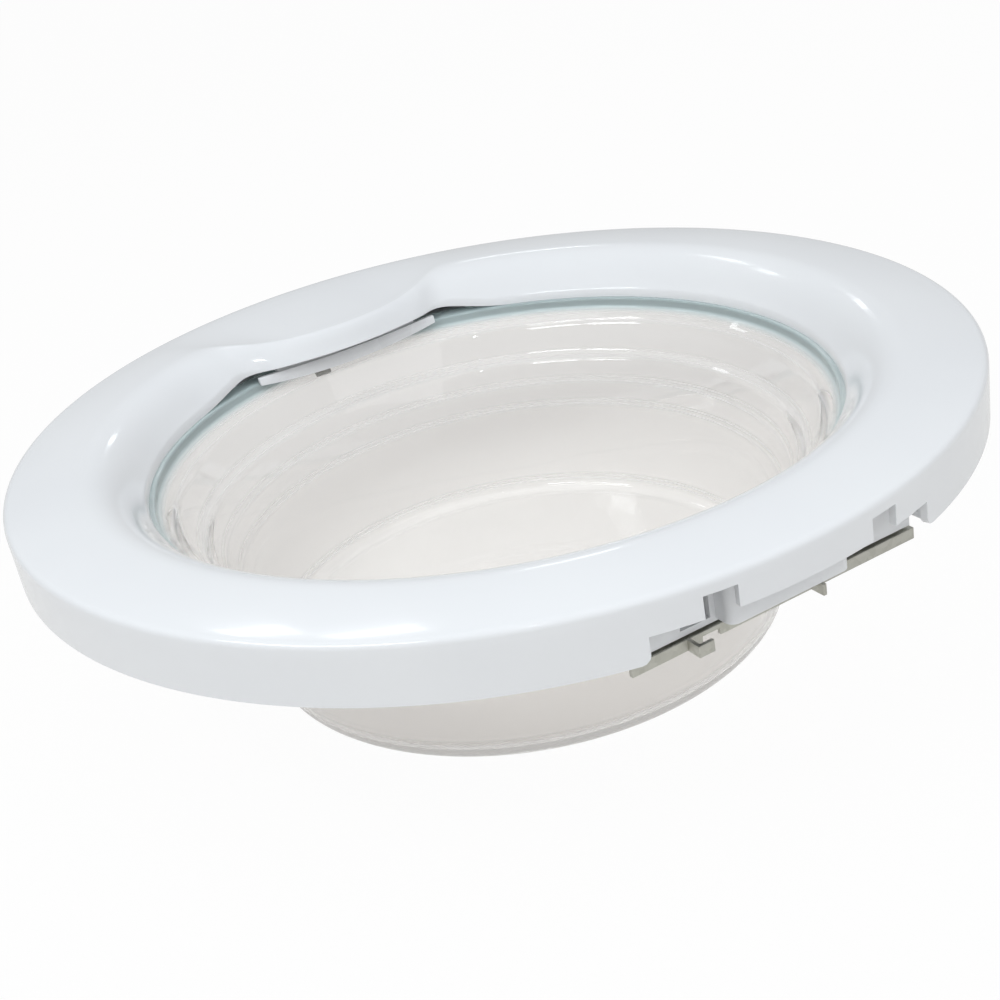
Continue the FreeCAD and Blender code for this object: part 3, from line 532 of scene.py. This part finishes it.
@dataclass
class OuterFrame:
    """White front ring with the grip tongue, the hinge cut-out and the two hinge notches.

    Lengths are in millimetres, heights count from the ring's foot, and angles are in degrees.
    """

    radius: float = 225.0
    wall: float = 3.0
    side_height: float = 23.2
    edge_width: float = 3.2
    edge_rise: float = 3.0
    edge_fall: float = 7.5
    edge_reach: float = 10.3
    edge_pull: float = 0.6
    crease_radius: float = 191.0
    crown_height: float = 28.2
    lip_radius: float = 164.0
    lip_height: float = 5.9
    lip_slope: float = 47.5
    lip_round: Point = (1.35, 4.9)
    crease_curve: float = 14.0
    slope_curve: float = 8.0
    handle_turn: float = 1.2
    tongue_reach: float = 140.4
    tongue_bow: float = 150.0
    tongue_height: float = 12.0
    tongue_shoulder: float = 149.0
    shoulder_bow: float = 97.0
    tongue_shoulder_height: float = 23.5
    tongue_slope: float = 58.0
    tongue_round: Point = (0.5, 1.0)
    tongue_curve: float = 4.5
    grip_angles: tuple[float, float] = (16.0, 26.0)
    rise_angles: tuple[float, float] = (17.0, 37.0)
    shoulder_angles: tuple[float, float] = (17.0, 27.0)
    crown_angles: tuple[float, float] = (10.0, 28.0)
    sector_angle: float = 42.0
    hinge_half: float = 65.0
    hinge_cut: float = 10.8
    hinge_margin: float = 20.0
    foot_round: float = 4.0
    foot_cuts: tuple[float, ...] = (15.0, 45.0, 75.0)
    notch_middle: float = 37.75
    notch_width: float = 13.5
    notch_height: float = 20.0
    post_circle: float = 200.0
    post_angles: tuple[float, ...] = (31.0, 66.0, 101.0, 136.0)
    post_radius: float = 4.1
    post_ends: Point = (-1.5, 26.7)
    pilot_radius: float = 1.92
    pilot_end: float = 13.0
    post_steps: int = 24
    bevel: float = 0.45
    bevel_above: float = 50.0
    stations: tuple[int, ...] = (6, 8, 10, 18, 7)
    steps: int = 480

    def handle_angle(self, place: Vector) -> float:
        """Angle of a place from the handle's middle, in degrees."""
        angle = math.degrees(math.atan2(place.y, -place.x)) + self.handle_turn
        return (angle + 180.0) % 360.0 - 180.0

    def swung(self, plain: float, reach: float, bow: float, angles: Point, angle: float) -> float:
        """Radius of an edge that leaves its circle and bows towards the axis at the handle.

        Args:
            plain: radius of the circle.
            reach: distance of the edge from the axis at the handle's middle.
            bow: radius of the edge in plan.
            angles: half angles where the edge starts to join the circle and where it is on it.
            angle: angle from the handle's middle, in degrees.

        Returns:
            The edge's radius at the angle.
        """
        share = ease(*angles, angle)
        if share == 0.0:
            return plain
        turn = math.radians(angle)
        bowed = (reach + (reach * math.tan(turn)) ** 2 / (2.0 * bow)) / math.cos(turn)
        return mix(plain, bowed, share)

    def lip_at(self, angle: float) -> Point:
        """Radius and height of the inner edge at an angle from the handle's middle."""
        radius = self.swung(self.lip_radius, self.tongue_reach, self.tongue_bow, self.grip_angles, angle)
        return radius, mix(self.lip_height, self.tongue_height, ease(*self.rise_angles, angle))

    def skin(self, angle: float) -> list[Point]:
        """Outer skin of the ring, from the foot to the inner edge.

        Args:
            angle: angle from the handle's middle, in degrees.

        Returns:
            Radius and height of each station; their number is the same at every angle.
        """
        grip = ease(*self.grip_angles, angle)
        lip, lip_height = self.lip_at(angle)
        shoulder = self.swung(
            self.crease_radius, self.tongue_shoulder, self.shoulder_bow, self.shoulder_angles, angle
        )
        crown_share = ease(*self.crown_angles, angle)
        shoulder_height = mix(self.crown_height, self.tongue_shoulder_height, crown_share)
        slope = math.radians(mix(self.lip_slope, self.tongue_slope, grip))
        crease_reach = mix(self.crease_curve, self.tongue_curve, grip)
        reach = mix(self.slope_curve, self.tongue_curve, grip)
        brink = (
            lip + mix(self.lip_round[0], self.tongue_round[0], grip),
            lip_height + mix(self.lip_round[1], self.tongue_round[1], grip),
        )
        bend = (lip, brink[1] - (brink[0] - lip) * math.tan(slope))
        fall = math.tan(math.radians(self.edge_fall))
        corner = (self.radius, self.side_height)
        crown = (self.radius - self.edge_width, self.side_height + self.edge_rise)
        crease = (shoulder, shoulder_height)
        pull = self.edge_width * self.edge_pull
        edge_poles = [
            corner,
            (self.radius, self.side_height + self.edge_rise * self.edge_pull),
            (crown[0] + pull, crown[1] - fall * pull),
            crown,
        ]
        crown_poles = [
            crown,
            (crown[0] - self.edge_reach, crown[1] + fall * self.edge_reach),
            (shoulder + self.edge_reach, shoulder_height),
            crease,
        ]
        slope_poles = [
            crease,
            (shoulder - crease_reach, shoulder_height),
            (brink[0] + reach * math.cos(slope), brink[1] + reach * math.sin(slope)),
            brink,
        ]
        lip_poles = [
            brink,
            (mix(brink[0], bend[0], self.edge_pull), mix(brink[1], bend[1], self.edge_pull)),
            (lip, mix(lip_height, bend[1], self.edge_pull)),
            (lip, lip_height),
        ]
        foot = (self.radius, 0.0)
        side_count, *curve_counts = self.stations
        points = [foot, *straight(foot, corner, side_count)]
        for poles, count in zip((edge_poles, crown_poles, slope_poles, lip_poles), curve_counts):
            points += curve(poles, count)
        return points

    def raise_tongue(self, mesh: bmesh.types.BMesh) -> None:
        """Pull the plain ring's stations in the handle sector to the tongue's skin.

        Args:
            mesh: skin of the plain ring.
        """
        plain = self.skin(90.0)
        skins: dict[int, list[Point]] = {}
        for vert in mesh.verts:
            angle = self.handle_angle(vert.co)
            if abs(angle) > self.sector_angle:
                continue
            radius = math.hypot(vert.co.x, vert.co.y) / MM
            height = vert.co.z / MM
            station = min(
                range(len(plain)), key=lambda n: abs(plain[n][0] - radius) + abs(plain[n][1] - height)
            )
            key = round(angle * 1000)
            if key not in skins:
                skins[key] = self.skin(angle)
            new_radius, new_height = skins[key][station]
            turn = math.atan2(vert.co.y, vert.co.x)
            vert.co = Vector((new_radius * math.cos(turn), new_radius * math.sin(turn), new_height)) * MM

    def hinge_faces(self, mesh: bmesh.types.BMesh) -> list[bmesh.types.BMFace]:
        """Find the side wall near the hinge.

        Args:
            mesh: skin of the ring.

        Returns:
            The wall's faces.
        """
        limit = (self.hinge_half + self.hinge_margin) * MM
        wall = (self.radius - self.edge_width) * MM
        return [
            face for face in mesh.faces
            if face.calc_center_median().x > 0 and abs(face.calc_center_median().y) < limit
            and face.calc_center_median().xy.length > wall
        ]

    def slice_wall(self, mesh: bmesh.types.BMesh, place: Point, normal: Point) -> None:
        """Cut new edges into the wall near the hinge.

        Args:
            mesh: skin of the ring.
            place: y and z of a point of the cutting plane, in millimetres.
            normal: y and z of the plane's normal.
        """
        faces = self.hinge_faces(mesh)
        geometry = {element for face in faces for element in (face, *face.edges, *face.verts)}
        bmesh.ops.bisect_plane(
            mesh, geom=list(geometry), dist=1e-7,
            plane_co=(0, place[0] * MM, place[1] * MM), plane_no=(0, *normal),
        )

    def open_hinge(self, mesh: bmesh.types.BMesh) -> None:
        """Cut the hinge opening and the two notches out of the side wall.

        Args:
            mesh: skin of the ring.
        """
        notches = [
            (side * self.notch_middle - self.notch_width / 2, side * self.notch_middle + self.notch_width / 2)
            for side in (-1, 1)
        ]
        for place in (-self.hinge_half, self.hinge_half, *notches[0], *notches[1]):
            self.slice_wall(mesh, (place, 0.0), (1.0, 0.0))
        for height in (self.hinge_cut, self.notch_height):
            self.slice_wall(mesh, (0.0, height), (0.0, 1.0))
        arcs = []
        for side in (-1, 1):
            centre = (side * (self.hinge_half + self.foot_round), self.foot_round)
            for degrees in self.foot_cuts:
                normal = (-side * math.cos(math.radians(degrees)), -math.sin(math.radians(degrees)))
                place = (centre[0] + normal[0] * self.foot_round, centre[1] + normal[1] * self.foot_round)
                self.slice_wall(mesh, place, normal)
                arcs.append((side, place, normal))
        gone = []
        for face in self.hinge_faces(mesh):
            middle = face.calc_center_median() / MM
            opening = abs(middle.y) < self.hinge_half and middle.z < self.hinge_cut
            notch = middle.z < self.notch_height and any(low < middle.y < high for low, high in notches)
            beyond = any(
                side * middle.y > 0 and abs(middle.y) < self.hinge_half + self.foot_round
                and middle.z < self.foot_round
                and (middle.y - place[0]) * normal[0] + (middle.z - place[1]) * normal[1] > 0
                for side, place, normal in arcs
            )
            if opening or notch or beyond:
                gone.append(face)
        bmesh.ops.delete(mesh, geom=gone, context="FACES")

    def add_posts(self, mesh: bmesh.types.BMesh) -> None:
        """Stand the posts for the frame screws under the top.

        Args:
            mesh: the ring's finished shell.
        """
        low, high = self.post_ends
        outline = [
            (0.0, self.pilot_end),
            (self.pilot_radius, self.pilot_end),
            (self.pilot_radius, low),
            (self.post_radius, low),
            (self.post_radius, high),
            (0.0, high),
        ]
        for angle in self.post_angles:
            for side in (-1, 1):
                turn = math.radians(side * angle)
                centre = (self.post_circle * math.cos(turn), self.post_circle * math.sin(turn))
                spin_outline(mesh, outline, self.post_steps, centre)

    def build(self) -> bpy.types.Object:
        """Model the ring.

        Returns:
            The dressed ring.
        """
        mesh = bmesh.new()
        spin_outline(mesh, self.skin(90.0), self.steps)
        self.raise_tongue(mesh)
        self.open_hinge(mesh)
        bmesh.ops.recalc_face_normals(mesh, faces=mesh.faces)
        top = max(mesh.faces, key=lambda face: face.calc_center_median().z)
        if top.normal.z < 0:
            bmesh.ops.reverse_faces(mesh, faces=mesh.faces)
        bmesh.ops.solidify(mesh, geom=list(mesh.faces), thickness=self.wall * MM)
        for vert in mesh.verts:
            lip, height = self.lip_at(self.handle_angle(vert.co))
            if vert.co.xy.length < (lip + 2 * self.wall) * MM and vert.co.z < height * MM:
                vert.co.z = height * MM
        bevel_sharp(mesh, self.bevel, self.bevel_above)
        bmesh.ops.dissolve_degenerate(mesh, dist=1e-5, edges=mesh.edges)
        self.add_posts(mesh)
        bmesh.ops.translate(mesh, verts=mesh.verts, vec=(0, 0, REAR_PLANE * MM))
        return finish_piece(mesh, "front_ring", "outer_frame", Body.DOOR, Slot.WHITE_GLOSS)


@dataclass
class GlassBowl:
    """Pressed glass bowl with a flat rim, a stepped throat and a flat foot.

    Lengths are in millimetres. A bend is its radius, its depth under the rim and its rounding.
    """

    rim_radius: float = 173.0
    rim_top: float = 103.8
    rim_under: float = 98.85
    mouth_radius: float = 161.5
    band_depth: float = 4.8
    throat_wall: float = 5.0
    wall: float = 4.5
    floor: float = 5.0
    foot_radius: float = 128.0
    foot_round: float = 9.0
    floor_round: float = 6.0
    rim_round: float = 1.0
    mouth_round: float = 1.2
    band_round: float = 2.0
    bends: tuple[tuple[float, float, float], ...] = (
        (153.5, 9.3, 14.0),
        (145.8, 25.2, 6.5),
        (141.3, 27.8, 6.5),
        (136.5, 38.8, 12.0),
        (132.0, 50.8, 20.0),
    )
    steps: int = 256
    smooth_below: float = 60.0

    def outline(self) -> list[Point]:
        """Section of the glass.

        Returns:
            Radius and height of each point, from the foot's middle over the rim to the floor's middle.
        """
        outside = [
            (radius + self.wall, self.rim_top - depth - self.wall / 2, rounding)
            for radius, depth, rounding in reversed(self.bends)
        ]
        inside = [(radius, self.rim_top - depth, rounding) for radius, depth, rounding in self.bends]
        corners = [(0.0, 0.0, 0.0), (self.foot_radius, 0.0, self.foot_round), *outside]
        corners += [
            (self.mouth_radius + self.throat_wall, self.rim_under, self.rim_round),
            (self.rim_radius, self.rim_under, self.rim_round),
            (self.rim_radius, self.rim_top, self.rim_round),
            (self.mouth_radius, self.rim_top, self.mouth_round),
            (self.mouth_radius, self.rim_top - self.band_depth, self.band_round),
            *inside,
            (self.foot_radius - self.wall, self.floor, self.floor_round),
            (0.0, self.floor, 0.0),
        ]
        return rounded(corners)

    def build(self) -> bpy.types.Object:
        """Model the bowl.

        Returns:
            The dressed bowl.
        """
        mesh = bmesh.new()
        spin_outline(mesh, self.outline(), self.steps)
        return finish_piece(
            mesh, "pressed_bowl", "glass_bowl", Body.DOOR, Slot.CLEAR_GLASS, self.smooth_below
        )


@dataclass
class EdgedPiece:
    """A CAD piece whose sharp edges get the small rounding of the real one.

    The edge's width is in millimetres, and angles are in degrees.
    """

    node: str
    name: str
    body: Body
    slot: Slot
    edge: float
    sharper_than: float = 35.0
    flat_below: float = 0.6

    def build(self) -> bpy.types.Object:
        """Round the edges of a copy of the CAD piece.

        Returns:
            The dressed piece.
        """
        mesh = bmesh.new()
        mesh.from_mesh(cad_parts[self.node].data)
        bmesh.ops.remove_doubles(mesh, verts=mesh.verts, dist=CAD_WELD)
        bmesh.ops.dissolve_limit(
            mesh, angle_limit=math.radians(self.flat_below), verts=mesh.verts, edges=mesh.edges,
            use_dissolve_boundaries=False, delimit={"NORMAL"},
        )
        bevel_sharp(mesh, self.edge, self.sharper_than)
        return finish_piece(mesh, self.name, self.node, self.body, self.slot)


@dataclass
class TorsionSpring:
    """Return spring with one leg on the frame and one leg on the lever."""

    node: str = "return_spring"
    slot: Slot = Slot.BRIGHT_STEEL
    frame_end: Place = (-0.1820, -0.0023, 0.1080)
    lever_end: Place = (-0.1822, 0.0072, 0.1080)
    smooth_below: float = 70.0

    def build(self) -> bpy.types.Object:
        """Copy the CAD spring and bake its place into the mesh.

        Returns:
            The dressed spring.
        """
        mesh = bmesh.new()
        mesh.from_mesh(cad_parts[self.node].data)
        bmesh.ops.remove_doubles(mesh, verts=mesh.verts, dist=CAD_WELD)
        piece = finish_piece(mesh, "coil_spring", self.node, None, self.slot, self.smooth_below)
        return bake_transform(piece)


@dataclass
class PlainNode:
    """A CAD piece that keeps its own mesh and gets a finish."""

    node: str
    slot: Slot

    def dress(self) -> bpy.types.Object:
        """Give the piece its finish.

        Returns:
            The CAD piece.
        """
        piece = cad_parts[self.node]
        piece.data.materials.clear()
        piece.data.materials.append(MATERIALS[self.slot])
        LOG.info("%s: CAD mesh, %s", self.node, self.slot.value)
        return piece


# Studio


@dataclass(frozen=True)
class Softbox:
    """A soft lamp that looks at the door from a direction.

    Angles are in degrees, lengths in metres and the power in watts.
    """

    name: str
    azimuth: float
    elevation: float
    distance: float
    width: float
    height: float
    power: float
    colour: Colour
    mirrored: bool = True

    def build(self, target: Vector) -> bpy.types.Object:
        """Hang the lamp.

        Args:
            target: point the lamp looks at.

        Returns:
            The lamp.
        """
        flat = math.cos(math.radians(self.elevation)) * self.distance
        direction = math.radians(self.azimuth)
        place = target + Vector((
            flat * math.cos(direction),
            flat * math.sin(direction),
            math.sin(math.radians(self.elevation)) * self.distance,
        ))
        data = bpy.data.lights.new(self.name, "AREA")
        data.shape = "RECTANGLE"
        data.size = self.width
        data.size_y = self.height
        data.energy = self.power
        data.color = self.colour
        lamp = bpy.data.objects.new(self.name, data)
        lamp.location = place
        lamp.rotation_euler = (target - place).to_track_quat("-Z", "Y").to_euler()
        lamp.visible_glossy = self.mirrored
        bpy.context.scene.collection.objects.link(lamp)
        return lamp


@dataclass
class Studio:
    """Pale floor, white surroundings, soft lamps and the photograph's camera.

    Places and lengths are in metres, angles in degrees, and the lens and sensor in millimetres.
    """

    camera_place: Place = (0.58574, -0.29700, 0.38330)
    camera_turn: Place = (63.535, 9.363, 58.743)
    lens: float = 54.03
    sensor: float = 36.0
    farthest: float = 100.0
    lamp_target: Place = (0.0, 0.0, 0.1)
    floor_size: float = 30.0
    floor_gap: float = 0.0003
    floor_colour: Colour = (0.80, 0.785, 0.765)
    floor_white: float = 0.96
    mirrored_white: float = 0.36
    ambient: float = 0.5

    def camera(self) -> None:
        """Set up the camera."""
        data = bpy.data.cameras.new("photo_camera")
        data.lens = self.lens
        data.sensor_width = self.sensor
        data.sensor_fit = "HORIZONTAL"
        data.clip_end = self.farthest
        camera = bpy.data.objects.new("photo_camera", data)
        camera.location = self.camera_place
        camera.rotation_euler = Euler([math.radians(angle) for angle in self.camera_turn], "XYZ")
        bpy.context.scene.collection.objects.link(camera)
        bpy.context.scene.camera = camera

    def floor(self) -> None:
        """Lay the floor the door lies on."""
        mesh = bmesh.new()
        bmesh.ops.create_grid(mesh, x_segments=1, y_segments=1, size=self.floor_size / 2)
        bmesh.ops.translate(mesh, verts=mesh.verts, vec=(0, 0, -self.floor_gap))
        data = bpy.data.meshes.new("floor")
        mesh.to_mesh(data)
        mesh.free()
        data.materials.append(self.floor_material())
        floor = bpy.data.objects.new("floor", data)
        bpy.context.scene.collection.objects.link(floor)

    def floor_material(self) -> bpy.types.Material:
        """A pale floor that the camera, glass and gloss see whiter than it is.

        Returns:
            The floor's material.
        """
        material = bpy.data.materials.new("pale_floor")
        material.use_nodes = True
        nodes = material.node_tree.nodes
        links = material.node_tree.links
        nodes.clear()
        diffuse = nodes.new("ShaderNodeBsdfDiffuse")
        diffuse.inputs["Color"].default_value = (*self.floor_colour, 1.0)
        white = nodes.new("ShaderNodeEmission")
        blend = nodes.new("ShaderNodeMixShader")
        output = nodes.new("ShaderNodeOutputMaterial")
        path = nodes.new("ShaderNodeLightPath")
        shares = []
        for ray, value in (
            ("Is Camera Ray", self.floor_white),
            ("Is Glossy Ray", self.mirrored_white),
            ("Is Transmission Ray", self.mirrored_white),
        ):
            share = nodes.new("ShaderNodeMath")
            share.operation = "MULTIPLY"
            share.inputs[1].default_value = value
            links.new(path.outputs[ray], share.inputs[0])
            shares.append(share.outputs["Value"])
        largest = shares[0]
        for share in shares[1:]:
            larger = nodes.new("ShaderNodeMath")
            larger.operation = "MAXIMUM"
            links.new(largest, larger.inputs[0])
            links.new(share, larger.inputs[1])
            largest = larger.outputs["Value"]
        links.new(largest, blend.inputs["Fac"])
        links.new(diffuse.outputs["BSDF"], blend.inputs[1])
        links.new(white.outputs["Emission"], blend.inputs[2])
        links.new(blend.outputs["Shader"], output.inputs["Surface"])
        return material

    def surroundings(self) -> None:
        """White surroundings that light the door softly."""
        world = bpy.data.worlds.new("studio")
        world.use_nodes = True
        bpy.context.scene.world = world
        nodes = world.node_tree.nodes
        links = world.node_tree.links
        background = nodes["Background"]
        background.inputs["Color"].default_value = (1.0, 1.0, 1.0, 1.0)
        strength = nodes.new("ShaderNodeMapRange")
        strength.inputs["To Min"].default_value = self.ambient
        strength.inputs["To Max"].default_value = 1.0
        path = nodes.new("ShaderNodeLightPath")
        links.new(path.outputs["Is Camera Ray"], strength.inputs["Value"])
        links.new(strength.outputs["Result"], background.inputs["Strength"])

    def build(self) -> None:
        """Build the studio."""
        bpy.context.scene.view_settings.view_transform = "Standard"
        self.camera()
        self.floor()
        self.surroundings()
        for lamp in LAMPS:
            lamp.build(Vector(self.lamp_target))


DAYLIGHT: Colour = (0.93, 0.97, 1.0)
SKYLIGHT: Colour = (0.86, 0.94, 1.0)
LAMPS = (
    Softbox("ceiling_panel", -45.0, 74.0, 1.3, 1.2, 1.2, 5.2, SKYLIGHT, mirrored=False),
    Softbox("right_fill", 15.0, 40.0, 1.6, 1.2, 0.8, 4.4, DAYLIGHT, mirrored=False),
    Softbox("left_softbox", -93.5, 47.0, 1.4, 0.43, 0.16, 2.2, DAYLIGHT),
    Softbox("right_softbox", -64.5, 47.0, 1.4, 0.43, 0.16, 2.2, DAYLIGHT),
    Softbox("small_lamp", -26.0, 48.0, 1.5, 0.04, 0.04, 0.3, DAYLIGHT),
    Softbox("far_window", 150.0, 28.0, 1.4, 0.13, 0.05, 0.1, DAYLIGHT),
    Softbox("rear_left_lamp", 180.3, 44.5, 1.31, 0.14, 0.08, 0.14, DAYLIGHT),
    Softbox("rear_right_lamp", 170.3, 49.8, 1.28, 0.16, 0.08, 0.16, DAYLIGHT),
)

MATERIALS = {slot: finish.material() for slot, finish in FINISHES.items()}


def corners(box: Sequence[Vector]) -> list[list[float]]:
    """Lowest and highest corner of a box as plain numbers."""
    return [[float(value) for value in corner] for corner in box]


def main() -> None:
    """Build the door's pieces and the studio."""
    logging.basicConfig(level=logging.INFO, format="%(name)s: %(message)s")
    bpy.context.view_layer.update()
    OuterFrame().build()
    GlassBowl().build()
    EdgedPiece("handle_lever", "pull_lever", Body.HANDLE, Slot.WHITE_SATIN, 0.5).build()
    EdgedPiece("latch_hook", "hook", Body.HANDLE, Slot.ZINC_CASTING, 0.4).build()
    EdgedPiece("hinge_plate", "folded_plate", Body.DOOR, Slot.GALVANISED_SHEET, 0.25).build()
    TorsionSpring().build()
    PlainNode("inner_frame", Slot.WHITE_SATIN).dress()
    PlainNode("handle_pin", Slot.BRIGHT_STEEL).dress()
    PlainNode("hinge_plate_screws", Slot.BRIGHT_STEEL).dress()
    PlainNode("frame_screws", Slot.BRIGHT_STEEL).dress()
    Studio().build()


if __name__ == "__main__":
    main()
